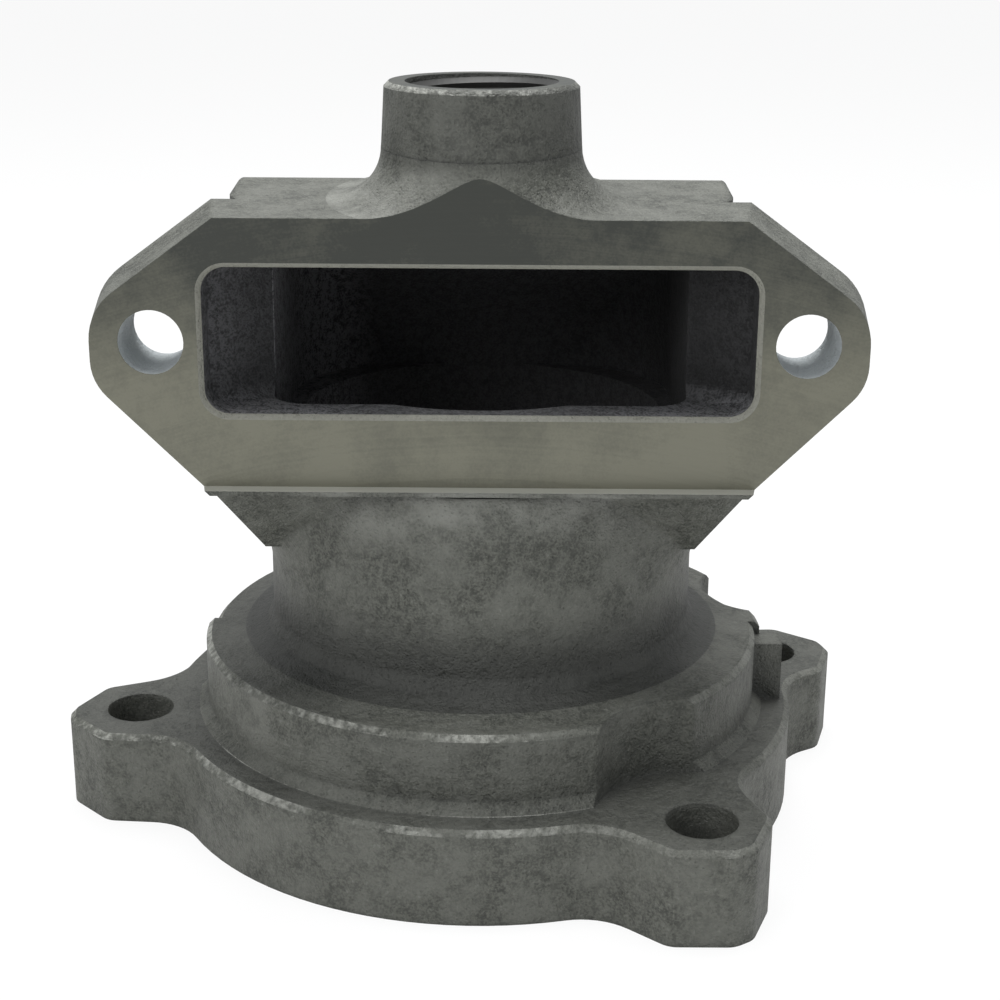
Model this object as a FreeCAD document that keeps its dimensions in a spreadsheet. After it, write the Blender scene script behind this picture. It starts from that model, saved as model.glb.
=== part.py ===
"""Gear pump housing: one rough iron casting with a milled port face, a bored top boss and a
base flange with four bolt ears.

The frame is in millimetres. Z is up and the base flange stands on Z = 0. The neck's axis is
X = Y = 0, and the milled port face looks along -Y.
"""

import FreeCAD, Part
import math
import os
import re
import Sketcher

NODE = "pump_housing"

# Distance under which two places count as one
TOUCH = 0.01

SIZES = {
    # Base flange
    "flange_radius": 58.0,
    "flange_height": 17.0,
    "flange_edge": 1.0,
    # Ears round the base bolts
    "ear_tip_flat": 2.0,
    "ear_shoulder": 6.0,
    "ear_half_width": 10.8,
    "ear_splay": 14.0,
    "ear_bury": 15.0,
    "ear_corner": 4.0,
    "ear_root": 11.0,
    "base_hole": 12.0,
    # Base bolts: reach from the neck axis, bearing from +X, and metal beyond the hole's centre
    "left_reach": 63.5,
    "left_bearing": 189.9,
    "left_tip": 12.7,
    "front_reach": 64.8,
    "front_bearing": 304.5,
    "front_tip": 11.5,
    "right_reach": 58.9,
    "right_bearing": 17.6,
    "right_tip": 13.3,
    "rear_reach": 64.0,
    "rear_bearing": 106.0,
    "rear_tip": 11.5,
    # Room for the bolt heads, cut into the shoulder
    "front_relief": 18.0,
    "rear_relief": 18.0,
    "right_relief": 13.2,
    # Shoulder tier and neck
    "shoulder_radius": 51.0,
    "shoulder_height": 30.5,
    "shoulder_rise": 1.2,
    "shoulder_edge": 1.0,
    "shoulder_foot": 1.8,
    "mould_step": 1.3,
    "neck_radius": 38.4,
    "neck_foot": 3.5,
    "neck_top": 46.0,
    "neck_lean": 1.5,
    "neck_front_top": 66.5,
    # Rib on the right of the shoulder
    "rib_reach": 56.0,
    "rib_front": 5.0,
    "rib_back": 0.5,
    "rib_height": 28.0,
    # Chamber, an elbow that turns the neck towards the port
    "chamber_overhang": 3.1,
    "chamber_start": 70.0,
    "chamber_rear_corner": 28.0,
    "chamber_front_corner": 6.0,
    "chamber_top": 113.5,
    "top_tilt": 3.0,
    "elbow_radius": 45.0,
    # Milled port face and its bolt lugs
    "face_depth": 35.6,
    "face_top": 113.0,
    "rough_stock": 2.7,
    "ledge_height": 68.0,
    "lip_height": 0.8,
    "lug_thickness": 14.0,
    "lug_draft": 7.5,
    "lug_upper_slant": 36.3,
    "lug_lower_slant": 45.0,
    "lug_radius": 9.5,
    "lug_lower_radius": 8.0,
    "lug_lower_offset": 11.3,
    "chamber_setback": 12.0,
    # Web between the port flange and the neck
    "web_overhang": 3.7,
    "web_setback": 2.5,
    "web_foot_inset": 4.2,
    "web_foot_front": 20.0,
    "web_foot_height": 52.0,
    "face_bolt_gap": 8.2,
    "face_bolt_height": 92.0,
    "face_hole": 10.5,
    # Top boss
    "boss_radius": 15.9,
    "boss_setback": 17.0,
    "boss_height": 18.1,
    "boss_foot": 8.5,
    "boss_skirt": 6.0,
    "boss_skirt_drop": 5.0,
    "boss_flare": 0.5,
    "boss_edge": 0.8,
    "boss_bore": 25.0,
    # Port
    "port_overhang": 2.8,
    "port_floor": 80.1,
    "port_roof": 104.1,
    "port_corner": 4.0,
    "port_chamfer": 0.8,
    "port_straight": 7.0,
    "port_taper": 8.0,
    # Cavity
    "wall_thickness": 7.0,
    "gear_bore": 87.0,
    "gear_depth": 22.0,
    "neck_wall": 6.4,
    "cavity_start": 72.0,
    # Length by which a cut runs past the metal
    "cut_overrun": 5.0,
}

# The chamber, the port and the port face's bolts stand in line with the neck's sides
CHAMBER_HALF = "(neck_radius+chamber_overhang)"
PORT_HALF = f"({CHAMBER_HALF}+port_overhang)"
FACE_BOLT_HALF = f"({PORT_HALF}+face_bolt_gap)"

doc = FreeCAD.newDocument("PumpHousing")
sheet = doc.addObject("Spreadsheet::Sheet", "Sizes")
for row, (alias, value) in enumerate(SIZES.items(), start=1):
    sheet.set(f"A{row}", alias)
    sheet.set(f"B{row}", str(value))
    sheet.setAlias(f"B{row}", alias)
doc.recompute()


def sized(formula):
    """A formula of sizes, as an expression on the sheet."""
    return re.sub(r"[a-z]+(_[a-z]+)+", r"Sizes.\g<0>", formula)


def worth(formula):
    """The number that a formula of sizes comes to."""
    return float(sheet.evalExpression(sized(formula)))


def new_sketch(body, name, role, offset="0", turn=None, across="0", raised="0", tilt=None):
    """A sketch on one of the body's origin planes, moved along its normal and turned in its
    plane, or moved in its plane and tilted forwards."""
    sketch = body.newObject("Sketcher::SketchObject", name)
    planes = [feature for feature in body.Origin.OriginFeatures if feature.Role == role]
    sketch.AttachmentSupport = [(planes[0], "")]
    sketch.MapMode = "FlatFace"
    sketch.setExpression("AttachmentOffset.Base.z", sized(offset))
    sketch.setExpression("AttachmentOffset.Base.x", sized(across))
    sketch.setExpression("AttachmentOffset.Base.y", sized(raised))
    if tilt:
        sketch.AttachmentOffset = FreeCAD.Placement(
            sketch.AttachmentOffset.Base, FreeCAD.Rotation(FreeCAD.Vector(1, 0, 0), worth(tilt)))
        sketch.setExpression("AttachmentOffset.Rotation.Angle", sized(tilt))
    if turn:
        sketch.setExpression("AttachmentOffset.Rotation.Angle", sized(turn))
    return sketch


def bind(sketch, kind, where, formula):
    """One dimension of a sketch, driven by a formula of sizes."""
    index = sketch.addConstraint(Sketcher.Constraint(kind, *where, worth(formula)))
    sketch.setExpression(f"Constraints[{index}]", sized(formula))


def arc_between(start, end, radius):
    """An arc from start to end, anticlockwise if the radius is positive."""
    chord = end - start
    rise = math.sqrt(max(radius ** 2 - chord.Length ** 2 / 4, 0))
    across = FreeCAD.Vector(-chord.y, chord.x, 0).normalize()
    centre = (start + end) / 2 + across * math.copysign(rise, radius)
    ends = (start, end) if radius > 0 else (end, start)
    angles = [math.atan2(point.y - centre.y, point.x - centre.x) for point in ends]
    return Part.ArcOfCircle(Part.Circle(centre, FreeCAD.Vector(0, 0, 1), abs(radius)), *angles)


def outline(sketch, corners):
    """A closed outline. A corner (x, y) starts a straight side. A corner (x, y, turn, radius)
    starts an arc, which turns anticlockwise for a turn of 1 and clockwise for -1."""
    points = [FreeCAD.Vector(worth(corner[0]), worth(corner[1]), 0) for corner in corners]
    count = len(corners)
    turns = [corner[2] if len(corner) > 2 else 1 for corner in corners]
    for number, corner in enumerate(corners):
        start, end = points[number], points[(number + 1) % count]
        if len(corner) > 2:
            sketch.addGeometry(arc_between(start, end, corner[2] * worth(corner[3])))
        else:
            sketch.addGeometry(Part.LineSegment(start, end))
    for number, corner in enumerate(corners):
        after = (number + 1) % count
        begins = 1 if turns[number] > 0 else 2
        meets = 1 if turns[after] > 0 else 2
        sketch.addConstraint(Sketcher.Constraint("Coincident", number, 3 - begins, after, meets))
        bind(sketch, "DistanceX", (-1, 1, number, begins), corner[0])
        bind(sketch, "DistanceY", (-1, 1, number, begins), corner[1])
        if len(corner) > 2:
            bind(sketch, "Radius", (number,), corner[3])


def circle(sketch, x, y, radius):
    """A circle at (x, y)."""
    centre = FreeCAD.Vector(worth(x), worth(y), 0)
    index = sketch.addGeometry(Part.Circle(centre, FreeCAD.Vector(0, 0, 1), worth(radius)))
    bind(sketch, "DistanceX", (-1, 1, index, 3), x)
    bind(sketch, "DistanceY", (-1, 1, index, 3), y)
    bind(sketch, "Radius", (index,), radius)


def rectangle(sketch, half, floor, roof, corner):
    """A rectangle with round corners, from -half to half across and from floor to roof."""
    outline(sketch, [
        (f"-({half}-({corner}))", floor),
        (f"{half}-({corner})", floor, 1, corner),
        (half, f"{floor}+{corner}"),
        (half, f"{roof}-({corner})", 1, corner),
        (f"{half}-({corner})", roof),
        (f"-({half}-({corner}))", roof, 1, corner),
        (f"-({half})", f"{roof}-({corner})"),
        (f"-({half})", f"{floor}+{corner}", 1, corner),
    ])


def pad(body, name, sketch, length, along=True, taper=None):
    """Metal added along the sketch's normal, or against it."""
    feature = body.newObject("PartDesign::Pad", name)
    feature.Profile = sketch
    feature.setExpression("Length", sized(length))
    feature.Reversed = not along
    if taper:
        feature.setExpression("TaperAngle", sized(taper))
    doc.recompute()
    return feature


def pocket(body, name, sketch, length, along=False, middle=False):
    """Metal cut away against the sketch's normal, along it, or to both sides of it."""
    before = body.Shape.Volume
    feature = body.newObject("PartDesign::Pocket", name)
    feature.Profile = sketch
    feature.setExpression("Length", sized(length))
    feature.Reversed = along
    feature.Midplane = middle
    doc.recompute()
    if feature.Shape.Volume >= before:
        raise ValueError(name + " removes nothing")
    return feature


def revolution(body, name, sketch):
    """Metal turned round the sketch's upright axis."""
    feature = body.newObject("PartDesign::Revolution", name)
    feature.Profile = sketch
    feature.ReferenceAxis = (sketch, ["V_Axis"])
    feature.Angle = 360
    doc.recompute()
    return feature


def loft(body, name, first, last):
    """Metal between two outlines."""
    feature = body.newObject("PartDesign::AdditiveLoft", name)
    feature.Profile = first
    feature.Sections = [last]
    doc.recompute()
    return feature


def fillet(body, name, radius, chosen):
    """Rounds the edges of the body's last feature that the test picks."""
    base = body.Tip
    edges = [f"Edge{n}" for n, edge in enumerate(base.Shape.Edges, start=1) if chosen(edge)]
    feature = body.newObject("PartDesign::Fillet", name)
    feature.Base = (base, edges)
    feature.setExpression("Radius", sized(radius))
    doc.recompute()
    return feature


def chamfer(body, name, size, chosen):
    """Bevels the edges of the body's last feature that the test picks."""
    base = body.Tip
    edges = [f"Edge{n}" for n, edge in enumerate(base.Shape.Edges, start=1) if chosen(edge)]
    feature = body.newObject("PartDesign::Chamfer", name)
    feature.Base = (base, edges)
    feature.setExpression("Size", sized(size))
    doc.recompute()
    return feature


def all_near(edge, part, level):
    """Whether each end of an edge has this part of its place at a level."""
    return all(abs(part(vertex.Point) - level) < TOUCH for vertex in edge.Vertexes)


def ear(body, name, reach, bearing, tip):
    """One bolt ear of the flange: straight sides that splay towards the flange."""
    sketch = new_sketch(body, name + "Outline", "XY_Plane", turn=bearing)
    tip = f"({reach}+{tip})"
    shoulder = f"({tip}-ear_shoulder)"
    root = "(flange_radius-ear_bury)"
    root_half = f"(ear_half_width+({shoulder}-{root})*tan(ear_splay))"
    outline(sketch, [
        (root, f"-{root_half}"),
        (shoulder, "-ear_half_width"),
        (tip, "-ear_tip_flat"),
        (tip, "ear_tip_flat"),
        (shoulder, "ear_half_width"),
        (root, root_half),
    ])
    return pad(body, name, sketch, "flange_height")


def upright(edge, radius_test):
    """Whether an edge stands upright at a distance from the axis that passes the test."""
    ends = [vertex.Point for vertex in edge.Vertexes]
    if len(ends) < 2 or math.hypot(ends[0].x - ends[1].x, ends[0].y - ends[1].y) > 1e-6:
        return False
    return radius_test(math.hypot(ends[0].x, ends[0].y))


def flange(body):
    """The base flange with its ears, their corners rounded and their roots blended."""
    disc = new_sketch(body, "FlangeOutline", "XY_Plane")
    circle(disc, "0", "0", "flange_radius")
    pad(body, "Flange", disc, "flange_height")
    for side in ("left", "front", "right", "rear"):
        ear(body, side.capitalize() + "Ear", side + "_reach", side + "_bearing", side + "_tip")
    rim = worth("flange_radius")
    fillet(body, "EarRoots", "ear_root", lambda edge: upright(edge, lambda r: abs(r - rim) < TOUCH))
    top = worth("flange_height")
    corners = worth("flange_radius+ear_root/4")
    fillet(body, "EarCorners", "ear_corner", lambda edge: upright(edge, lambda r: r > corners))
    chamfer(body, "FlangeEdge", "flange_edge", lambda edge: all_near(edge, lambda at: at.z, top))


def tier(radius):
    """The shoulder tier's side, from its foot on the flange to its bevelled rim."""
    return [
        (f"{radius}+shoulder_foot", "flange_height-cut_overrun"),
        (f"{radius}+shoulder_foot", "flange_height"),
        (radius, "flange_height+shoulder_foot"),
        (radius, "shoulder_height-shoulder_edge"),
        (f"{radius}-shoulder_edge", "shoulder_height"),
    ]


def shoulder_and_neck(body):
    """The shoulder tier and the round neck above it. The mould's rear half stood a little to
    the right of its front half, which left a step in each side of the tier."""
    profile = new_sketch(body, "NeckProfile", "XZ_Plane")
    slope_top = "(shoulder_height+shoulder_rise)"
    outline(profile, [("0", "flange_height-cut_overrun")] + tier("(shoulder_radius-2*mould_step)") + [
        ("neck_radius+neck_foot", slope_top),
        ("neck_radius+neck_foot/3", f"{slope_top}+neck_foot/3"),
        ("neck_radius", f"{slope_top}+neck_foot"),
        ("neck_radius", "neck_top"),
        ("neck_radius-neck_lean", "neck_front_top"),
        ("0", "neck_front_top"),
    ])
    revolution(body, "ShoulderAndNeck", profile)
    for name, across, behind in (("FrontTier", "0", False), ("RearTier", "mould_step", True)):
        half = new_sketch(body, name + "Profile", "XZ_Plane", across=across)
        outline(half, [("neck_radius-neck_foot", "flange_height-cut_overrun")] + tier("shoulder_radius") + [
            ("neck_radius-neck_foot", "shoulder_height"),
        ])
        feature = revolution(body, name, half)
        feature.Angle = 180
        feature.Reversed = not behind
        doc.recompute()


def shoulder_rib(body):
    """The rib on the right of the shoulder, up from the flange."""
    sketch = new_sketch(body, "RibOutline", "XY_Plane")
    outline(sketch, [
        ("neck_radius", "-rib_front"),
        ("rib_reach", "-rib_front"),
        ("rib_reach", "rib_back"),
        ("neck_radius", "rib_back"),
    ])
    pad(body, "Rib", sketch, "rib_height")


def bolt_place(side):
    """The place of a base bolt on the flange."""
    return f"{side}_reach*cos({side}_bearing)", f"{side}_reach*sin({side}_bearing)"


def bolt_reliefs(body):
    """Round clearances for the bolt heads, down through the shoulder to the flange."""
    for side in ("front", "rear", "right"):
        sketch = new_sketch(body, side.capitalize() + "ReliefOutline", "XY_Plane", "flange_height")
        circle(sketch, *bolt_place(side), side + "_relief")
        pocket(body, side.capitalize() + "Relief", sketch, "shoulder_height", along=True)


def chamber_outline(sketch, half, front, rear, front_corner, rear_corner, round_to=None):
    """The chamber's plan: straight in front, with wide round corners behind. With a radius to
    round to, its corners lie on that circle instead."""
    corners = [
        (f"-({half}-({front_corner}))", front, None),
        (f"{half}-({front_corner})", front, front_corner),
        (half, f"{front}+{front_corner}", None),
        (half, f"{rear}-({rear_corner})", rear_corner),
        (f"{half}-({rear_corner})", rear, None),
        (f"-({half}-({rear_corner}))", rear, rear_corner),
        (f"-({half})", f"{rear}-({rear_corner})", None),
        (f"-({half})", f"{front}+{front_corner}", front_corner),
    ]
    if round_to:
        reach = [f"sqrt(({x})^2+({y})^2)" for x, y, radius in corners]
        outline(sketch, [(f"({x})*{round_to}/{far}", f"({y})*{round_to}/{far}", 1, round_to)
                         for (x, y, radius), far in zip(corners, reach)])
    else:
        outline(sketch, [(x, y, 1, radius) if radius else (x, y) for x, y, radius in corners])


def elbow_cut(body, name, radius, half, floor_rear):
    """Trims the chamber's upper rear to the elbow's bend, seen from the side."""
    sketch = new_sketch(body, name + "Outline", "YZ_Plane")
    middle = "(neck_radius-elbow_radius)"
    height = "(chamber_top-elbow_radius)"
    outline(sketch, [
        (middle, f"{height}+{radius}", -1, radius),
        (f"{middle}+{radius}", height),
        (f"{floor_rear}+cut_overrun", height),
        (f"{floor_rear}+cut_overrun", "chamber_top+cut_overrun"),
        (middle, "chamber_top+cut_overrun"),
    ])
    pocket(body, name, sketch, f"2*({half}+cut_overrun)", middle=True)


def chamber(body):
    """The chamber: a loft from the round neck to the chamber's plan, then straight up, with
    the elbow's bend behind."""
    front = "-(face_depth-chamber_setback)"
    plan = (CHAMBER_HALF, front, "neck_radius", "chamber_front_corner", "chamber_rear_corner")
    low = new_sketch(body, "ChamberFoot", "XY_Plane", "neck_top")
    chamber_outline(low, *plan, round_to="neck_radius")
    high = new_sketch(body, "ChamberPlan", "XY_Plane", "chamber_start")
    chamber_outline(high, *plan)
    loft(body, "ChamberFlare", low, high)
    walls = new_sketch(body, "ChamberWalls", "XY_Plane", "chamber_start")
    chamber_outline(walls, *plan)
    pad(body, "Chamber", walls, "chamber_top-chamber_start")
    elbow_cut(body, "Elbow", "elbow_radius", CHAMBER_HALF, "neck_radius")


def lug_corners():
    """The port flange's outline: slanted shoulders round each bolt, down to the lip."""
    across = FACE_BOLT_HALF
    level = "face_bolt_height"
    slant_x = f"({across}+lug_radius*sin(lug_upper_slant))"
    slant_z = f"({level}+lug_radius*cos(lug_upper_slant))"
    top_half = f"({slant_x}-(face_top-{slant_z})/tan(lug_upper_slant))"
    drop = "((lug_lower_offset-lug_radius*sin(lug_lower_slant))/cos(lug_lower_slant))"
    trim = "(lug_lower_radius*tan((90-lug_lower_slant)/2))"
    side = f"({across}+lug_radius)"
    low_x = f"({side}-{trim}*cos(lug_lower_slant))"
    low_z = f"({level}-{drop}-{trim}*sin(lug_lower_slant))"
    lip_floor = "(ledge_height-lip_height)"
    lip_half = f"({low_x}-({low_z}-{lip_floor})/tan(lug_lower_slant))"
    left = [
        (f"-{top_half}", "face_top"),
        (f"-{slant_x}", slant_z, 1, "lug_radius"),
        (f"-{side}", level),
        (f"-{side}", f"{level}-{drop}+{trim}", 1, "lug_lower_radius"),
        (f"-{low_x}", low_z),
        (f"-{lip_half}", lip_floor),
    ]
    right = [
        (lip_half, lip_floor),
        (low_x, low_z, 1, "lug_lower_radius"),
        (side, f"{level}-{drop}+{trim}"),
        (side, level, 1, "lug_radius"),
        (slant_x, slant_z),
        (top_half, "face_top"),
    ]
    return left + right


def port_flange(body):
    """The port flange with its bolt lugs, cast proud of the face by the milling stock."""
    face = new_sketch(body, "FaceOutline", "XZ_Plane", "face_depth+rough_stock")
    outline(face, lug_corners())
    pad(body, "PortFlange", face, "lug_thickness+rough_stock", along=False, taper="lug_draft")


def web_section(body, name, level, half, front):
    """The web's plan at one height."""
    sketch = new_sketch(body, name, "XY_Plane", level)
    back = "-(face_depth-lug_thickness)+web_setback"
    outline(sketch, [(f"-{half}", front), (half, front), (half, back), (f"-{half}", back)])
    return sketch


def web(body):
    """The web under the port flange, which narrows and leans back to the neck."""
    foot = web_section(body, "WebFoot", "web_foot_height", f"({CHAMBER_HALF}-web_foot_inset)",
                       "-web_foot_front")
    top = web_section(body, "WebTop", "ledge_height-lip_height/2", f"({CHAMBER_HALF}+web_overhang)",
                      "-(face_depth-web_setback)")
    loft(body, "Web", foot, top)


def top_slope(body):
    """The top of the chamber and the flange, sloped down towards the port face."""
    sketch = new_sketch(body, "TopSlopeOutline", "YZ_Plane")
    start = "(neck_radius-elbow_radius)"
    front = "(face_depth+rough_stock+cut_overrun)"
    outline(sketch, [
        (start, "chamber_top"),
        (start, "chamber_top+cut_overrun"),
        (f"-{front}", "chamber_top+cut_overrun"),
        (f"-{front}", f"chamber_top-({front}+{start})*tan(top_tilt)"),
    ])
    pocket(body, "TopSlope", sketch, f"2*({FACE_BOLT_HALF}+lug_radius)", middle=True)


def boss(body):
    """The top boss, with a wide cast foot that follows the top's slope and a skirt that runs
    down onto the elbow's bend behind."""
    place = "face_depth-boss_setback"
    level = f"chamber_top-({place}+neck_radius-elbow_radius)*tan(top_tilt)"
    reach = "boss_radius+boss_flare"
    top = "chamber_top+boss_height"
    foot = new_sketch(body, "BossFootProfile", "XZ_Plane", place, raised=level, tilt="top_tilt")
    outline(foot, [
        ("0", "-boss_skirt_drop"),
        (f"{reach}+boss_foot+boss_skirt", "-boss_skirt_drop"),
        (f"{reach}+boss_foot", "0", -1, "boss_foot"),
        (reach, "boss_foot"),
        ("0", "boss_foot"),
    ])
    revolution(body, "BossFoot", foot)
    profile = new_sketch(body, "BossProfile", "XZ_Plane", place)
    outline(profile, [
        ("0", level),
        (reach, level),
        (reach, f"{level}+boss_foot"),
        ("boss_radius", f"{top}-boss_edge"),
        ("boss_radius-boss_edge", top),
        ("0", top),
    ])
    revolution(body, "Boss", profile)


def milling(body):
    """The port face milled flat down to the ledge, through the front of the boss's foot."""
    sketch = new_sketch(body, "MillingOutline", "XZ_Plane", "face_depth")
    half = f"({FACE_BOLT_HALF}+lug_radius+cut_overrun)"
    outline(sketch, [
        (f"-{half}", "ledge_height"),
        (half, "ledge_height"),
        (half, "chamber_top+boss_height+cut_overrun"),
        (f"-{half}", "chamber_top+boss_height+cut_overrun"),
    ])
    pocket(body, "Milling", sketch, "rough_stock+boss_foot+boss_skirt+cut_overrun", along=True)


def drilling(body):
    """The bolt holes in the lugs and the ears, and the bore of the boss."""
    lugs = new_sketch(body, "LugHoles", "XZ_Plane", "face_depth")
    circle(lugs, f"-{FACE_BOLT_HALF}", "face_bolt_height", "face_hole/2")
    circle(lugs, FACE_BOLT_HALF, "face_bolt_height", "face_hole/2")
    pocket(body, "LugDrilling", lugs, "lug_thickness+cut_overrun")
    ears = new_sketch(body, "EarHoles", "XY_Plane", "flange_height")
    for side in ("left", "front", "right", "rear"):
        circle(ears, *bolt_place(side), "base_hole/2")
    pocket(body, "EarDrilling", ears, "flange_height")
    top = new_sketch(body, "BossHole", "XY_Plane", "chamber_top+boss_height")
    circle(top, "0", "-(face_depth-boss_setback)", "boss_bore/2")
    pocket(body, "BossBoring", top, "boss_height+wall_thickness")


def core_bores(body):
    """The gear chamber in the base and the round bore up the neck."""
    profile = new_sketch(body, "BoreProfile", "XZ_Plane")
    outline(profile, [
        ("0", "-cut_overrun"),
        ("gear_bore/2", "-cut_overrun"),
        ("gear_bore/2", "gear_depth"),
        ("neck_radius-neck_wall", "gear_depth"),
        ("neck_radius-neck_wall", "port_floor"),
        ("0", "port_floor"),
    ])
    revolution(body, "Bores", profile)


def core_chamber(body):
    """The hollow of the elbow, a wall's thickness inside the chamber."""
    sketch = new_sketch(body, "HollowPlan", "XY_Plane", "cavity_start")
    chamber_outline(sketch, f"({CHAMBER_HALF}-wall_thickness)", "-(face_depth-wall_thickness)",
                    "(neck_radius-wall_thickness)", "chamber_front_corner",
                    "(chamber_rear_corner-wall_thickness)")
    pad(body, "Hollow", sketch, "chamber_top-wall_thickness-cavity_start")
    elbow_cut(body, "HollowElbow", "(elbow_radius-wall_thickness)", CHAMBER_HALF, "neck_radius")


def core_port(body):
    """The port: a straight slot that narrows into the hollow, with a chamfered mouth."""
    slot = ("port_floor", "port_roof", "port_corner")
    mouth = new_sketch(body, "PortMouth", "XZ_Plane", "face_depth")
    rectangle(mouth, PORT_HALF, *slot)
    pad(body, "PortSlot", mouth, "port_straight", along=False)
    wide = new_sketch(body, "PortWide", "XZ_Plane", "face_depth-port_straight")
    rectangle(wide, PORT_HALF, *slot)
    narrow = new_sketch(body, "PortNarrow", "XZ_Plane", "face_depth-port_straight-port_taper")
    rectangle(narrow, f"({CHAMBER_HALF}-wall_thickness)", *slot)
    loft(body, "PortTaper", wide, narrow)
    outer = new_sketch(body, "ChamferOuter", "XZ_Plane", "face_depth+port_chamfer")
    rectangle(outer, f"({PORT_HALF}+2*port_chamfer)", "(port_floor-2*port_chamfer)",
              "(port_roof+2*port_chamfer)", "(port_corner+2*port_chamfer)")
    inner = new_sketch(body, "ChamferInner", "XZ_Plane", "face_depth-port_chamfer")
    rectangle(inner, PORT_HALF, *slot)
    loft(body, "PortChamfer", outer, inner)


casting = doc.addObject("PartDesign::Body", "Casting")
flange(casting)
shoulder_and_neck(casting)
shoulder_rib(casting)
bolt_reliefs(casting)
chamber(casting)
web(casting)
port_flange(casting)
top_slope(casting)
boss(casting)
milling(casting)
drilling(casting)

core = doc.addObject("PartDesign::Body", "SandCore")
core_bores(core)
core_chamber(core)
core_port(core)

housing = doc.addObject("Part::Cut", "Housing")
housing.Base = casting
housing.Tool = core
housing.Label = NODE
doc.recompute()

for part in doc.Objects:
    if "Invalid" in part.State or "Error" in part.State:
        raise ValueError(f"{part.Name} failed: {part.State}")
if housing.Shape.isNull() or not housing.Shape.isValid() or len(housing.Shape.Solids) != 1:
    raise ValueError("the housing is not one valid solid")

os.makedirs("parts", exist_ok=True)
housing.Shape.exportStep(f"parts/{housing.Label}.step")
box = housing.Shape.BoundBox
print(f"{housing.Label}: {box.XLength:.1f} x {box.YLength:.1f} x {box.ZLength:.1f} mm,",
      f"{housing.Shape.Volume / 1000:.0f} cm3")
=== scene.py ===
import math
import bmesh
import bpy
from mathutils import Matrix, Vector


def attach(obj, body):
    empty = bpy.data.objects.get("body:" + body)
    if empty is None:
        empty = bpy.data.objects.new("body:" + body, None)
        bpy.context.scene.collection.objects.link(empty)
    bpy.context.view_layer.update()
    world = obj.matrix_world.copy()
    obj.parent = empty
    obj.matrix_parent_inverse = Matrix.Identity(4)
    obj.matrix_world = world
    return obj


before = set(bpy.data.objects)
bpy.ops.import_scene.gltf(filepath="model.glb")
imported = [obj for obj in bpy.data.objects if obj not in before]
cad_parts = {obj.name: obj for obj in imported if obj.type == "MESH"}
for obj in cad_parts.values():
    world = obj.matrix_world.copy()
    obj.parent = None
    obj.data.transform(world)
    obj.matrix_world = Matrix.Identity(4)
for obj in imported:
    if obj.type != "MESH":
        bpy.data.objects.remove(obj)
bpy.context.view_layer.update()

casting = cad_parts["pump_housing"]
print("frame loaded")


# node helpers
def feed(tree, value, socket):
    # numbers and colours are set on the socket, and another node's output is linked to it
    if isinstance(value, (int, float, tuple)):
        socket.default_value = value
    else:
        tree.links.new(value, socket)


def addNode(tree, kind, values=None, **settings):
    node = tree.nodes.new(kind)
    for name, value in settings.items():
        setattr(node, name, value)
    for name, value in (values or {}).items():
        feed(tree, value, node.inputs[name])
    return node


def maths(tree, operation, *values):
    return addNode(tree, "ShaderNodeMath", dict(enumerate(values)), operation=operation).outputs[0]


def both(tree, *masks):
    product = masks[0]
    for mask in masks[1:]:
        product = maths(tree, "MULTIPLY", product, mask)
    return product


def either(tree, *masks):
    highest = masks[0]
    for mask in masks[1:]:
        highest = maths(tree, "MAXIMUM", highest, mask)
    return highest


def invert(tree, mask):
    return maths(tree, "SUBTRACT", 1.0, mask)


def weigh(tree, *parts):
    # the sum of values, each times its share
    total = maths(tree, "MULTIPLY", *parts[0])
    for value, share in parts[1:]:
        total = maths(tree, "MULTIPLY_ADD", value, share, total)
    return total


def sway(tree, value, share, base):
    # the base, pushed up and down by a value that has its middle at a half
    return maths(tree, "MULTIPLY_ADD", maths(tree, "SUBTRACT", value, 0.5), share, base)


def ramp(tree, value, low, high, start=0.0, end=1.0):
    values = {"Value": value, "From Min": low, "From Max": high, "To Min": start, "To Max": end}
    return addNode(tree, "ShaderNodeMapRange", values, interpolation_type="SMOOTHSTEP").outputs["Result"]


def clamp(tree, value):
    return addNode(tree, "ShaderNodeClamp", {"Value": value}).outputs[0]


def blend(tree, share, first, second):
    return addNode(tree, "ShaderNodeMix", {0: share, 6: first, 7: second}, data_type="RGBA").outputs[2]


def mixNumbers(tree, share, first, second):
    return addNode(tree, "ShaderNodeMix", {0: share, 2: first, 3: second}).outputs[0]


def noise(tree, place, scale, detail, roughness):
    values = {"Vector": place, "Scale": scale, "Detail": detail, "Roughness": roughness}
    return addNode(tree, "ShaderNodeTexNoise", values).outputs["Fac"]


def newGroup(name, inputs, outputs):
    # an input whose value is one number is a float, and any other is a vector
    tree = bpy.data.node_groups.new(name, "ShaderNodeTree")
    for label, value in inputs.items():
        kind = "NodeSocketFloat" if isinstance(value, float) else "NodeSocketVector"
        tree.interface.new_socket(label, in_out="INPUT", socket_type=kind).default_value = value
    for label in outputs:
        tree.interface.new_socket(label, in_out="OUTPUT", socket_type="NodeSocketFloat")
    return tree, tree.nodes.new("NodeGroupInput").outputs, tree.nodes.new("NodeGroupOutput").inputs


def useGroup(tree, group, values):
    return addNode(tree, "ShaderNodeGroup", values, node_tree=group).outputs


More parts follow.
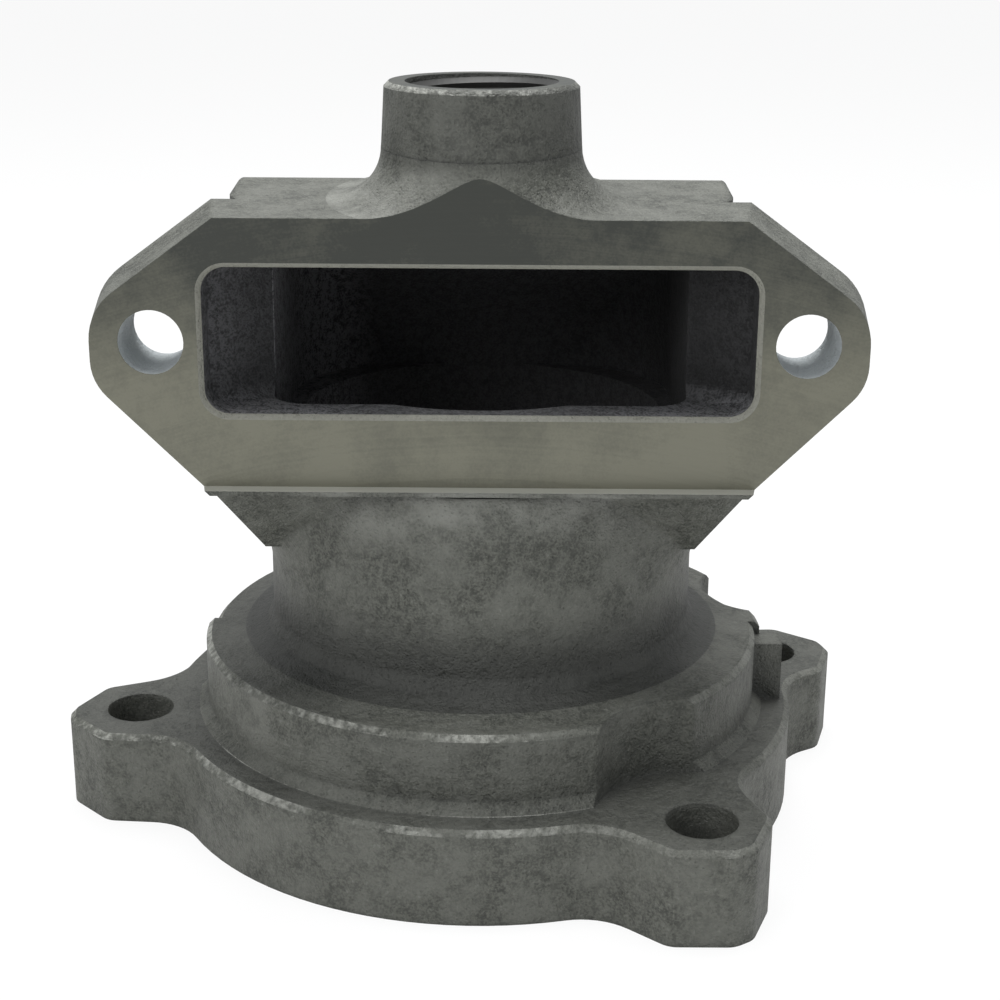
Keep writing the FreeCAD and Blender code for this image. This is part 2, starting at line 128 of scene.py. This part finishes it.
# the sand mould's print: fine grain, pits and slow lumps, with masks for tone
# a noise has its detail and its roughness here and below
sandPrint = {
    "grainNoise": (2.0, 0.6),
    "coarseNoise": (2.0, 0.5),
    "lumpNoise": (3.0, 0.55),
    "coarseScale": 0.3,
    "pitScale": 0.6,
    "pitFade": (0.0, 0.4),
    "grainShare": 0.35,
    "pitShare": 0.2,
    "coarseShare": 0.6,
    "lumpShare": 1.1,
    "grainTone": 0.6,
    "coarseTone": 0.4,
    "toneFade": (0.38, 0.6),
    "speckFade": (0.6, 0.7),
    "patchFade": (0.35, 0.68),
}


def sandGrainGroup(values):
    tree, inputs, outputs = newGroup(
        "sandGrain",
        {"Place": (0.0, 0.0, 0.0), "Grain Size": 0.0005, "Lump Size": 0.006},
        ("Height", "Tone", "Speck", "Patch"),
    )
    place = inputs["Place"]
    grainScale = maths(tree, "DIVIDE", 1.0, inputs["Grain Size"])
    lumpScale = maths(tree, "DIVIDE", 1.0, inputs["Lump Size"])
    coarseScale = maths(tree, "MULTIPLY", grainScale, values["coarseScale"])
    grain = noise(tree, place, grainScale, *values["grainNoise"])
    coarse = noise(tree, place, coarseScale, *values["coarseNoise"])
    lumps = noise(tree, place, lumpScale, *values["lumpNoise"])
    pitScale = maths(tree, "MULTIPLY", grainScale, values["pitScale"])
    pits = addNode(tree, "ShaderNodeTexVoronoi", {"Vector": place, "Scale": pitScale}, feature="F1")
    pitDepth = ramp(tree, pits.outputs["Distance"], *values["pitFade"])
    height = weigh(tree, (grain, values["grainShare"]), (pitDepth, values["pitShare"]),
                   (coarse, values["coarseShare"]), (lumps, values["lumpShare"]))
    shade = weigh(tree, (grain, values["grainTone"]), (coarse, values["coarseTone"]))
    feed(tree, height, outputs["Height"])
    feed(tree, ramp(tree, shade, *values["toneFade"]), outputs["Tone"])
    feed(tree, ramp(tree, shade, *values["speckFade"]), outputs["Speck"])
    feed(tree, ramp(tree, lumps, *values["patchFade"]), outputs["Patch"])
    return tree


# bright rubbed metal that shows through on a bevel, in stretches; where the bevel mask favours the left, it
# is also a painted highlight
rubbing = {
    "fineScale": 900.0,
    "fineNoise": (3.0, 0.5),
    "fineShare": 0.9,
    "stretchScale": 70.0,
    "stretchNoise": (2.0, 0.5),
    "stretchShare": 1.6,
    "fade": (1.1, 1.55),
}


def edgeWearAndHighlightGroup(values):
    tree, inputs, outputs = newGroup("edgeWearAndHighlight", {"Place": (0.0, 0.0, 0.0), "Bevel": 0.0}, ("WornAndHighlight",))
    fine = noise(tree, inputs["Place"], values["fineScale"], *values["fineNoise"])
    stretch = noise(tree, inputs["Place"], values["stretchScale"], *values["stretchNoise"])
    amount = weigh(tree, (fine, values["fineShare"]), (stretch, values["stretchShare"]))
    wornAndHighlight = both(tree, inputs["Bevel"], ramp(tree, amount, *values["fade"]))
    feed(tree, clamp(tree, wornAndHighlight), outputs["WornAndHighlight"])
    return tree


# painted shade, darkest deep in corners and hollows, where ambient occlusion finds them
cornerShade = {
    "rays": 4,
    "breakUpScale": 500.0,
    "breakUpNoise": (4.0, 0.5),
    "breakUpShare": 0.3,
    "fade": (0.18, 0.7),
}


def hollowShadeGroup(values):
    tree, inputs, outputs = newGroup("hollowShade", {"Place": (0.0, 0.0, 0.0), "Reach": 0.008}, ("Hollow Shade",))
    around = addNode(tree, "ShaderNodeAmbientOcclusion", {"Distance": inputs["Reach"]},
                     samples=values["rays"], only_local=True)
    breakUp = noise(tree, inputs["Place"], values["breakUpScale"], *values["breakUpNoise"])
    shade = sway(tree, breakUp, values["breakUpShare"], invert(tree, around.outputs["AO"]))
    feed(tree, ramp(tree, shade, *values["fade"]), outputs["Hollow Shade"])
    return tree


# shallow arcs left by a cutter that swept across the face, and smears of its coolant
cutterSweep = {
    "arcDetail": 4.0,
    "arcRoughness": 0.7,
    "wobbleScale": 90.0,
    "wobbleNoise": (2.0, 0.5),
    "wobbleShare": 0.8,
    "smearScale": 60.0,
    "smearNoise": (4.0, 0.6),
    "smearFade": (0.35, 0.65),
}


def cutterMarksGroup(values):
    tree, inputs, outputs = newGroup(
        "cutterMarks",
        {"Place": (0.0, 0.0, 0.0), "Pitch": 0.0008, "Sweep": (0.0, 0.0, -0.09)},
        ("Arc", "Smear"),
    )
    place = inputs["Place"]
    away = addNode(tree, "ShaderNodeVectorMath", {0: place, 1: inputs["Sweep"]}, operation="DISTANCE")
    turns = maths(tree, "DIVIDE", away.outputs["Value"], inputs["Pitch"])
    wobble = noise(tree, place, values["wobbleScale"], *values["wobbleNoise"])
    bent = maths(tree, "MULTIPLY_ADD", wobble, values["wobbleShare"], turns)
    arcValues = {"W": bent, "Scale": 1.0, "Detail": values["arcDetail"], "Roughness": values["arcRoughness"]}
    arc = addNode(tree, "ShaderNodeTexNoise", arcValues, noise_dimensions="1D")
    smear = noise(tree, place, values["smearScale"], *values["smearNoise"])
    feed(tree, arc.outputs["Fac"], outputs["Arc"])
    feed(tree, ramp(tree, smear, *values["smearFade"]), outputs["Smear"])
    return tree


sandGrain = sandGrainGroup(sandPrint)
edgeWearAndHighlight = edgeWearAndHighlightGroup(rubbing)
hollowShade = hollowShadeGroup(cornerShade)
cutterMarks = cutterMarksGroup(cutterSweep)
print("surface effects built")


# places on the casting, in metres
castingPlaces = {
    "portFace": -0.0356,
    "faceFloor": 0.067,
    "ledge": 0.068,
    "rim": 0.1316,
    "gearBore": 0.0437,
    "gearTop": 0.0221,
    "lugHole": (0.0525, 0.092),
    "lugHoleRadius": 0.0054,
    "lugBack": -0.0215,
    "bossAxis": (0.0, -0.0186),
    "bossBore": 0.0125,
    "bossBoreFloor": 0.1067,
    "bossFoot": 0.0255,
    "chamferBox": ((-0.0464, -0.0357, 0.0782), (0.0464, -0.0347, 0.106)),
    "slotBox": ((-0.0446, -0.0349, 0.0798), (0.0446, -0.0219, 0.1044)),
    "hollowBox": ((-0.0372, -0.0289, 0.0718), (0.0372, 0.0321, 0.1068)),
    "taperEnd": -0.0207,
    "rearCorner": (0.0135, 0.0104),
    "rearCornerRadius": 0.0245,
    "bendCentre": (-0.0066, 0.0685),
    "bendRadius": 0.0395,
    "neckBore": 0.0335,
    "neckBoreEnds": (0.0222, 0.0803),
    "shoulderTop": 0.0313,
    "tierWall": (0.0172, 0.0302),
    "skirtFloor": 0.1085,
    "bevelTops": (0.017, 0.0305, 0.1316),
    "bevelDrop": 0.0012,
    "neckAxis": (0.0, 0.0),
    "hair": 0.0001,
    "flatReach": 0.00006,
    "flatFacing": 0.99,
}

# colours, and how much of each tone there is; sizes are in metres
ironFinish = {
    "skinDark": (0.036, 0.038, 0.031, 1.0),
    "skin": (0.091, 0.094, 0.079, 1.0),
    "skinPale": (0.117, 0.12, 0.104, 1.0),
    "speck": (0.19, 0.195, 0.18, 1.0),
    # the darkest colour below is painted shade, on shelves, boss, tier, neck foot, corners and bore
    "paintedShade": (0.018, 0.019, 0.017, 1.0),
    # the pale worn colour below is edge wear, and also painted highlight on the web, skirt, tier and left
    # edges
    "wornAndHighlight": (0.33, 0.335, 0.305, 1.0),
    "milledHigh": (0.04, 0.043, 0.037, 1.0),
    "milledLow": (0.168, 0.166, 0.128, 1.0),
    # the ledge's colour below is fresh cut metal, partly a painted highlight
    "freshCutAndHighlight": (0.38, 0.38, 0.34, 1.0),
    "edgeCut": (0.2, 0.2, 0.17, 1.0),
    "drilled": (0.42, 0.45, 0.46, 1.0),
    "core": (0.03, 0.03, 0.031, 1.0),
    "coreSpeck": (0.14, 0.14, 0.146, 1.0),
    "endShade": (0.004, 0.004, 0.004, 1.0),
    "patchShare": 0.7,
    "speckShare": 0.4,
    "cornerShadeShare": 0.85,
    "wornHighlightShare": 0.75,
    "highlightShare": 0.45,
    "highlightPatch": 0.7,
    "bossShade": 0.3,
    "bossRightShade": 0.18,
    "tierShade": 0.16,
    "tierLight": 0.14,
    "footShade": 0.75,
    "coreEndShade": 0.7,
    "coreSpeckBase": 0.25,
    "deepPale": 1.4,
    "boreShade": 0.6,
    "faceMiddleDim": -0.22,
    "faceShare": 0.85,
    "faceBase": 0.12,
    "smearShare": 0.3,
    "grainShare": 0.12,
    "arcShare": 0.35,
    "skinRough": 0.6,
    "wornShine": -0.15,
    "cutRough": 0.36,
    "arcRough": 0.2,
    "cutMetal": 0.4,
    "wornMetal": 0.3,
    "grainSize": 0.00042,
    "lumpSize": 0.008,
    "shadeReach": 0.011,
    "markPitch": 0.0009,
    "arcDepth": 0.08,
    "bumpDepth": 0.0007,
    "edgeRays": 4,
    "edgeRound": 0.0013,
    "crispRound": 0.1,
}

# where a tone begins and where it is full, in metres or as a part of the normal, and in some
# its least and greatest amounts
ironFades = {
    "shelfFacing": (0.6, 0.95),
    "shelfHeight": (0.085, 0.04),
    "shelfLeft": (-0.01, -0.036, 0.15, 0.5),
    "shelfLow": (0.024, 0.018, 0.0, 0.42),
    "webHeight": (0.055, 0.064),
    "webFacing": (-0.2, -0.6),
    "webMiddle": (0.034, 0.02, 0.0, 0.7),
    "skirtHeight": (0.1205, 0.117),
    "skirtLeft": (0.004, -0.014, 0.0, 0.7),
    "bossHeight": (0.117, 0.1215),
    "bossRight": (0.002, 0.014),
    "wallFacing": (0.4, 0.1),
    "tierFront": (-0.036, -0.012),
    "tierLeft": (-0.03, -0.046),
    "footHeight": (0.0483, 0.0363),
    "faceHeight": (0.108, 0.078),
    "faceMiddle": (0.032, 0.008),
    "mouthDepth": (-0.02, -0.033),
    "floorFacing": (0.2, 0.9, 0.35, 1.0),
    "mouthSides": (0.012, 0.03, 0.35, 1.5),
    "deepLeft": (-0.016, -0.034),
    "endShadeRight": (0.026, 0.037),
    "endShadeLeft": (-0.044, -0.037, 0.0, 0.4),
    "endShadeFacing": (0.5, 0.2),
    "bevelFacing": (0.5, 0.85),
    "bevelLeft": (0.03, -0.01, 0.3, 1.0),
    "bevelEar": (-0.045, -0.055, 0.0, 0.8),
}


def planeMask(tree, along, facing, level, sign, at):
    # 1 on the flat face at this level that looks along the axis
    near = maths(tree, "COMPARE", along, level, at["flatReach"])
    looks = maths(tree, "GREATER_THAN", maths(tree, "MULTIPLY", facing, sign), at["flatFacing"])
    return both(tree, near, looks)


def within(tree, value, low, high):
    return both(tree, maths(tree, "GREATER_THAN", value, low), maths(tree, "LESS_THAN", value, high))


def inBox(tree, place, low, high):
    return both(tree, *[within(tree, place[axis], low[axis], high[axis]) for axis in range(3)])


def inRound(tree, first, second, centre, radius):
    # 1 inside a cylinder, seen along its axis
    flat = addNode(tree, "ShaderNodeCombineXYZ", {0: first, 1: second}).outputs[0]
    away = addNode(tree, "ShaderNodeVectorMath", {0: flat, 1: (*centre, 0.0)}, operation="DISTANCE")
    return maths(tree, "LESS_THAN", away.outputs["Value"], radius)


def bevelMask(tree, place, facing, at, fades):
    # 1 on the bevelled rims of the base flange, the shoulder tier and the boss
    rims = [within(tree, place[2], top - at["bevelDrop"], top + at["hair"]) for top in at["bevelTops"]]
    # the left side gets more than the right, and the left ear most: a painted highlight of the light from the
    # left
    side = maths(tree, "ADD", ramp(tree, place[0], *fades["bevelLeft"]),
                 ramp(tree, place[0], *fades["bevelEar"]))
    return both(tree, within(tree, facing[2], *fades["bevelFacing"]), either(tree, *rims), side)


def coredMask(tree, place, at):
    # 1 on what the sand core left: the port, the elbow's hollow and the bore up the neck
    x, y, z = place
    side = maths(tree, "ABSOLUTE", x)
    cornerSide, cornerDepth = at["rearCorner"]
    bendDepth, bendHeight = at["bendCentre"]
    corner = either(tree, maths(tree, "LESS_THAN", side, cornerSide),
                    maths(tree, "LESS_THAN", y, cornerDepth),
                    inRound(tree, side, y, at["rearCorner"], at["rearCornerRadius"]))
    bend = either(tree, maths(tree, "LESS_THAN", y, bendDepth),
                  inRound(tree, y, z, at["bendCentre"], at["bendRadius"]),
                  maths(tree, "LESS_THAN", z, bendHeight))
    hollow = both(tree, inBox(tree, place, *at["hollowBox"]), corner, bend)
    neck = both(tree, inRound(tree, x, y, at["neckAxis"], at["neckBore"]),
                within(tree, z, *at["neckBoreEnds"]))
    return either(tree, inBox(tree, place, *at["slotBox"]), hollow, neck)


def cutMasks(tree, place, facing, at):
    # 1 on each kind of surface that a tool has cut
    x, y, z = place
    hair = at["hair"]
    face = both(tree, planeMask(tree, y, facing[1], at["portFace"], -1, at),
                maths(tree, "GREATER_THAN", z, at["faceFloor"]))
    shelf = planeMask(tree, z, facing[2], at["ledge"], 1, at)
    rim = planeMask(tree, z, facing[2], at["rim"], 1, at)
    base = planeMask(tree, z, facing[2], 0.0, -1, at)
    gearBore = both(tree, inRound(tree, x, y, at["neckAxis"], at["gearBore"]),
                    within(tree, z, hair, at["gearTop"]))
    lugHoles = inRound(tree, maths(tree, "ABSOLUTE", x), z, at["lugHole"], at["lugHoleRadius"])
    bossBore = inRound(tree, x, y, at["bossAxis"], at["bossBore"] + 2 * hair)
    return {
        "milled": either(tree, face, rim, base, shelf, gearBore),
        "shelf": shelf,
        "chamfer": both(tree, inBox(tree, place, *at["chamferBox"]), invert(tree, face)),
        "drilled": both(tree, lugHoles, within(tree, y, at["portFace"] + hair, at["lugBack"])),
        "bored": both(tree, bossBore, within(tree, z, at["bossBoreFloor"], at["rim"] - hair)),
    }


def skinColour(tree, place, facing, grain, wornAndHighlight, cornerShading, at, look, fades):
    x, y, z = place
    skin = blend(tree, grain["Tone"], look["skinDark"], look["skin"])
    skin = blend(tree, both(tree, grain["Patch"], look["patchShare"]), skin, look["skinPale"])
    skin = blend(tree, both(tree, grain["Speck"], look["speckShare"]), skin, look["speck"])
    # painted shade on the low shelves, which the flange above shelters, and darkest on the left of
    # the tier and on the flange
    low = both(tree, ramp(tree, facing[2], *fades["shelfFacing"]), ramp(tree, z, *fades["shelfHeight"]))
    share = either(tree, ramp(tree, x, *fades["shelfLeft"]), ramp(tree, z, *fades["shelfLow"]))
    skin = blend(tree, both(tree, low, share), skin, look["paintedShade"])
    # painted highlight: the web's front and the boss's left skirt are paler, in patches
    web = both(tree, ramp(tree, z, *fades["webHeight"]), maths(tree, "LESS_THAN", z, at["ledge"]),
               ramp(tree, facing[1], *fades["webFacing"]),
               ramp(tree, maths(tree, "ABSOLUTE", x), *fades["webMiddle"]))
    skirt = both(tree, ramp(tree, z, *fades["skirtHeight"]),
                 maths(tree, "GREATER_THAN", z, at["skirtFloor"]),
                 inRound(tree, x, y, at["bossAxis"], at["bossFoot"]),
                 ramp(tree, x, *fades["skirtLeft"]))
    patches = maths(tree, "MULTIPLY_ADD", grain["Patch"], look["highlightPatch"], 1.0 - look["highlightPatch"])
    skin = blend(tree, both(tree, either(tree, web, skirt), look["highlightShare"], patches), skin, look["wornAndHighlight"])
    # painted shade on the boss, and most on its right
    bossShading = maths(tree, "MULTIPLY_ADD", ramp(tree, x, *fades["bossRight"]), look["bossRightShade"],
                  look["bossShade"])
    skin = blend(tree, both(tree, ramp(tree, z, *fades["bossHeight"]), bossShading), skin, look["paintedShade"])
    # painted shade on the tier's wall in front, and painted light on its left
    tier = both(tree, within(tree, z, *at["tierWall"]), ramp(tree, facing[2], *fades["wallFacing"]))
    skin = blend(tree, both(tree, tier, ramp(tree, x, *fades["tierFront"]), look["tierShade"]),
                 skin, look["paintedShade"])
    skin = blend(tree, both(tree, tier, ramp(tree, x, *fades["tierLeft"]), look["tierLight"]),
                 skin, look["wornAndHighlight"])
    # painted shade in a band round the neck's foot
    foot = both(tree, ramp(tree, z, *fades["footHeight"]), look["footShade"],
                maths(tree, "GREATER_THAN", z, at["shoulderTop"]))
    skin = blend(tree, foot, skin, look["paintedShade"])
    # painted shade deep in corners and hollows
    skin = blend(tree, both(tree, cornerShading, look["cornerShadeShare"]), skin, look["paintedShade"])
    # edge wear, partly a painted highlight on the left
    return blend(tree, both(tree, wornAndHighlight, look["wornHighlightShare"]), skin, look["wornAndHighlight"])


def milledColour(tree, place, grain, marks, shelf, look, fades):
    # the milled face is dull at its top and brighter towards the ledge, a painted reflection of the floor,
    # and dimmer in its middle
    x, y, z = place
    middle = ramp(tree, maths(tree, "ABSOLUTE", x), *fades["faceMiddle"])
    bright = maths(tree, "MULTIPLY_ADD", middle, look["faceMiddleDim"], ramp(tree, z, *fades["faceHeight"]))
    bright = maths(tree, "MULTIPLY_ADD", bright, look["faceShare"], look["faceBase"])
    bright = sway(tree, marks["Smear"], look["smearShare"], bright)
    bright = sway(tree, grain["Tone"], look["grainShare"], bright)
    bright = sway(tree, marks["Arc"], look["arcShare"], bright)
    milled = blend(tree, clamp(tree, bright), look["milledHigh"], look["milledLow"])
    # the ledge's fresh cut is painted brighter still, partly a painted highlight from the light above
    return blend(tree, shelf, milled, look["freshCutAndHighlight"])


def coreColour(tree, place, facing, grain, at, look, fades):
    # the core's print is sooty inside, with pale specks; on the port's floor near the mouth they
    # make a painted pool of light, and they are paler deep on the left
    x, y, z = place
    mouth = both(tree, ramp(tree, y, *fades["mouthDepth"]), ramp(tree, facing[2], *fades["floorFacing"]),
                 ramp(tree, maths(tree, "ABSOLUTE", x), *fades["mouthSides"]))
    mouth = maths(tree, "MULTIPLY_ADD", mouth, 1.0 - look["coreSpeckBase"], look["coreSpeckBase"])
    deep = both(tree, ramp(tree, x, *fades["deepLeft"]), maths(tree, "GREATER_THAN", y, at["taperEnd"]))
    specksAndLight = both(tree, grain["Tone"], either(tree, mouth, maths(tree, "MULTIPLY", deep, look["deepPale"])))
    inner = blend(tree, specksAndLight, look["core"], look["coreSpeck"])
    # painted shade on its ends
    ends = either(tree, ramp(tree, x, *fades["endShadeRight"]), ramp(tree, x, *fades["endShadeLeft"]))
    endShade = both(tree, ends, invert(tree, deep), ramp(tree, facing[2], *fades["endShadeFacing"]))
    return blend(tree, both(tree, endShade, look["coreEndShade"]), inner, look["endShade"])


def castIron(at, look, fades):
    material = bpy.data.materials.new("castIron")
    material.use_nodes = True
    tree = material.node_tree
    tree.nodes.clear()
    shader = addNode(tree, "ShaderNodeBsdfPrincipled", {"IOR": 1.5, "Specular IOR Level": 0.5})
    addNode(tree, "ShaderNodeOutputMaterial", {"Surface": shader.outputs["BSDF"]})
    coordinate = addNode(tree, "ShaderNodeTexCoord").outputs["Object"]
    normal = addNode(tree, "ShaderNodeNewGeometry").outputs["True Normal"]
    place = addNode(tree, "ShaderNodeSeparateXYZ", {0: coordinate}).outputs
    facing = addNode(tree, "ShaderNodeSeparateXYZ", {0: normal}).outputs

    cuts = cutMasks(tree, place, facing, at)
    cored = coredMask(tree, place, at)
    bevel = bevelMask(tree, place, facing, at, fades)
    grain = useGroup(tree, sandGrain, {"Place": coordinate, "Grain Size": look["grainSize"],
                                       "Lump Size": look["lumpSize"]})
    wornAndHighlight = useGroup(tree, edgeWearAndHighlight, {"Place": coordinate, "Bevel": bevel})["WornAndHighlight"]
    cornerShading = useGroup(tree, hollowShade, {"Place": coordinate, "Reach": look["shadeReach"]})["Hollow Shade"]
    marks = useGroup(tree, cutterMarks, {"Place": coordinate, "Pitch": look["markPitch"]})

    colour = skinColour(tree, place, facing, grain, wornAndHighlight, cornerShading, at, look, fades)
    colour = blend(tree, cored, colour, coreColour(tree, place, facing, grain, at, look, fades))
    colour = blend(tree, cuts["milled"], colour,
                   milledColour(tree, place, grain, marks, cuts["shelf"], look, fades))
    colour = blend(tree, cuts["chamfer"], colour, look["edgeCut"])
    colour = blend(tree, cuts["drilled"], colour, look["drilled"])
    # painted shade down the boss's bore
    colour = blend(tree, both(tree, cuts["bored"], look["boreShade"]), colour, look["paintedShade"])
    feed(tree, colour, shader.inputs["Base Color"])

    skinRough = maths(tree, "MULTIPLY_ADD", wornAndHighlight, look["wornShine"], look["skinRough"])
    cutRough = maths(tree, "MULTIPLY_ADD", marks["Arc"], look["arcRough"], look["cutRough"])
    rough = mixNumbers(tree, cuts["milled"], either(tree, skinRough, cored), cutRough)
    feed(tree, rough, shader.inputs["Roughness"])
    cut = either(tree, cuts["milled"], cuts["drilled"])
    feed(tree, weigh(tree, (wornAndHighlight, look["wornMetal"]), (cut, look["cutMetal"])), shader.inputs["Metallic"])

    # a cast edge is soft and a cut one is crisp
    crisp = either(tree, cut, cored)
    radius = maths(tree, "MULTIPLY", maths(tree, "SUBTRACT", 1.0 + look["crispRound"], crisp),
                   look["edgeRound"])
    rounded = addNode(tree, "ShaderNodeBevel", {"Radius": radius}, samples=look["edgeRays"])
    height = mixNumbers(tree, cuts["milled"], grain["Height"],
                        maths(tree, "MULTIPLY", marks["Arc"], look["arcDepth"]))
    bump = addNode(tree, "ShaderNodeBump", {"Strength": 1.0, "Distance": look["bumpDepth"],
                                            "Normal": rounded.outputs["Normal"], "Height": height})
    feed(tree, bump.outputs["Normal"], shader.inputs["Normal"])
    return material


iron = castIron(castingPlaces, ironFinish, ironFades)
for slotIndex in range(len(casting.material_slots)):
    casting.material_slots[slotIndex].material = iron
print("casting finished")


# the fine pipe thread in the boss
thread = {
    "pitch": 0.001814,
    "crest": 0.0117,
    "sunk": 0.00003,
    "lead": 0.0010,
    "turns": 9,
    "steps": 56,
    # the ridge is dark as painted shade down the bore
    "ridge": (0.05, 0.05, 0.048, 1.0),
    "roughness": 0.5,
    "metallic": 0.3,
}


def threadIron(look):
    material = bpy.data.materials.new("threadIron")
    material.use_nodes = True
    shader = material.node_tree.nodes["Principled BSDF"]
    shader.inputs["Base Color"].default_value = look["ridge"]
    shader.inputs["Roughness"].default_value = look["roughness"]
    shader.inputs["Metallic"].default_value = look["metallic"]
    return material


def buildThread(values, at):
    # a three-cornered ridge, turned down the bore with its foot sunk into the wall
    mesh = bmesh.new()
    x, y = at["bossAxis"]
    root = at["bossBore"] + values["sunk"]
    start = at["rim"] - values["lead"]
    half = values["pitch"] / 2
    corners = [(root, start + half), (values["crest"], start), (root, start - half)]
    verts = [mesh.verts.new((x + reach, y, height)) for reach, height in corners]
    edges = [mesh.edges.new((verts[index], verts[(index + 1) % 3])) for index in range(3)]
    drop = Vector((0.0, 0.0, -values["pitch"] / values["steps"]))
    bmesh.ops.spin(mesh, geom=verts + edges, cent=(x, y, 0.0), axis=(0.0, 0.0, 1.0), dvec=drop,
                   angle=2 * math.pi * values["turns"], steps=values["steps"] * values["turns"])
    bmesh.ops.holes_fill(mesh, edges=[edge for edge in mesh.edges if edge.is_boundary], sides=3)
    bmesh.ops.recalc_face_normals(mesh, faces=mesh.faces)
    data = bpy.data.meshes.new("bossThread")
    mesh.to_mesh(data)
    mesh.free()
    piece = bpy.data.objects.new("bossThread", data)
    bpy.context.collection.objects.link(piece)
    data.materials.append(threadIron(values))
    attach(piece, "root")


buildThread(thread, castingPlaces)
print("thread built")


# floor, lights and camera
studio = {
    "floorHalf": 4.0,
    "floorColour": (0.86, 0.86, 0.86, 1.0),
    "white": (1.0, 1.0, 1.0, 1.0),
    "shadowShare": 0.12,
    "fillColour": (0.96, 0.98, 1.0, 1.0),
    "fill": 0.6,
    "cameraPlace": (0.0034, -0.3263, 0.1621),
    "cameraPitch": 18.3,
    "cameraRoll": 0.4,
    "focalPixels": 1870.0,
    "pictureWidth": 1000.0,
    "sensorWidth": 36.0,
}

lamps = {
    "overhead": {"place": (0.0, 0.12, 0.9), "aim": (0.0, 0.0, 0.08), "size": 0.7, "power": 11.0},
    "front": {"place": (-0.6, -0.8, 0.55), "aim": (0.0, 0.0, 0.05), "size": 0.5, "power": 3.0},
}


def paleFloor(values):
    # the floor is white to the eye and in reflections, but for the object's shadow on it
    material = bpy.data.materials.new("paleFloor")
    material.use_nodes = True
    tree = material.node_tree
    tree.nodes.clear()
    matt = addNode(tree, "ShaderNodeBsdfDiffuse", {"Color": values["floorColour"]})
    glow = addNode(tree, "ShaderNodeEmission", {"Color": values["white"], "Strength": 1.0})
    rays = addNode(tree, "ShaderNodeLightPath").outputs
    seen = either(tree, rays["Is Camera Ray"], rays["Is Glossy Ray"], rays["Is Transmission Ray"])
    share = both(tree, seen, 1.0 - values["shadowShare"])
    surface = addNode(tree, "ShaderNodeMixShader", {0: share, 1: matt.outputs[0], 2: glow.outputs[0]})
    addNode(tree, "ShaderNodeOutputMaterial", {"Surface": surface.outputs[0]})
    return material


def buildFloor(values):
    mesh = bmesh.new()
    bmesh.ops.create_grid(mesh, x_segments=1, y_segments=1, size=values["floorHalf"])
    data = bpy.data.meshes.new("floor")
    mesh.to_mesh(data)
    mesh.free()
    floor = bpy.data.objects.new("floor", data)
    bpy.context.collection.objects.link(floor)
    data.materials.append(paleFloor(values))


def buildWorld(values):
    world = bpy.data.worlds.new("studio")
    bpy.context.scene.world = world
    world.use_nodes = True
    tree = world.node_tree
    tree.nodes.clear()
    fill = addNode(tree, "ShaderNodeBackground", {"Color": values["fillColour"], "Strength": values["fill"]})
    white = addNode(tree, "ShaderNodeBackground", {"Color": values["white"], "Strength": 1.0})
    seen = addNode(tree, "ShaderNodeLightPath").outputs["Is Camera Ray"]
    surface = addNode(tree, "ShaderNodeMixShader", {0: seen, 1: fill.outputs[0], 2: white.outputs[0]})
    addNode(tree, "ShaderNodeOutputWorld", {"Surface": surface.outputs[0]})


def addLamp(name, values):
    data = bpy.data.lights.new(name, "AREA")
    data.shape = "DISK"
    data.size = values["size"]
    data.energy = values["power"]
    lamp = bpy.data.objects.new(name, data)
    bpy.context.collection.objects.link(lamp)
    lamp.location = values["place"]
    towards = Vector(values["aim"]) - Vector(values["place"])
    lamp.rotation_euler = towards.to_track_quat("-Z", "Y").to_euler()


def buildCamera(values):
    data = bpy.data.cameras.new("camera")
    data.sensor_fit = "HORIZONTAL"
    data.sensor_width = values["sensorWidth"]
    data.lens = values["sensorWidth"] * values["focalPixels"] / values["pictureWidth"]
    camera = bpy.data.objects.new("camera", data)
    bpy.context.collection.objects.link(camera)
    turn = Matrix.Rotation(math.radians(90.0 - values["cameraPitch"]), 4, "X")
    roll = Matrix.Rotation(math.radians(values["cameraRoll"]), 4, "Z")
    camera.matrix_world = Matrix.Translation(values["cameraPlace"]) @ turn @ roll
    bpy.context.scene.camera = camera


buildFloor(studio)
buildWorld(studio)
for lampName, lampValues in lamps.items():
    addLamp(lampName, lampValues)
buildCamera(studio)
bpy.context.scene.view_settings.view_transform = "Standard"
print("stage, lights and camera ready")
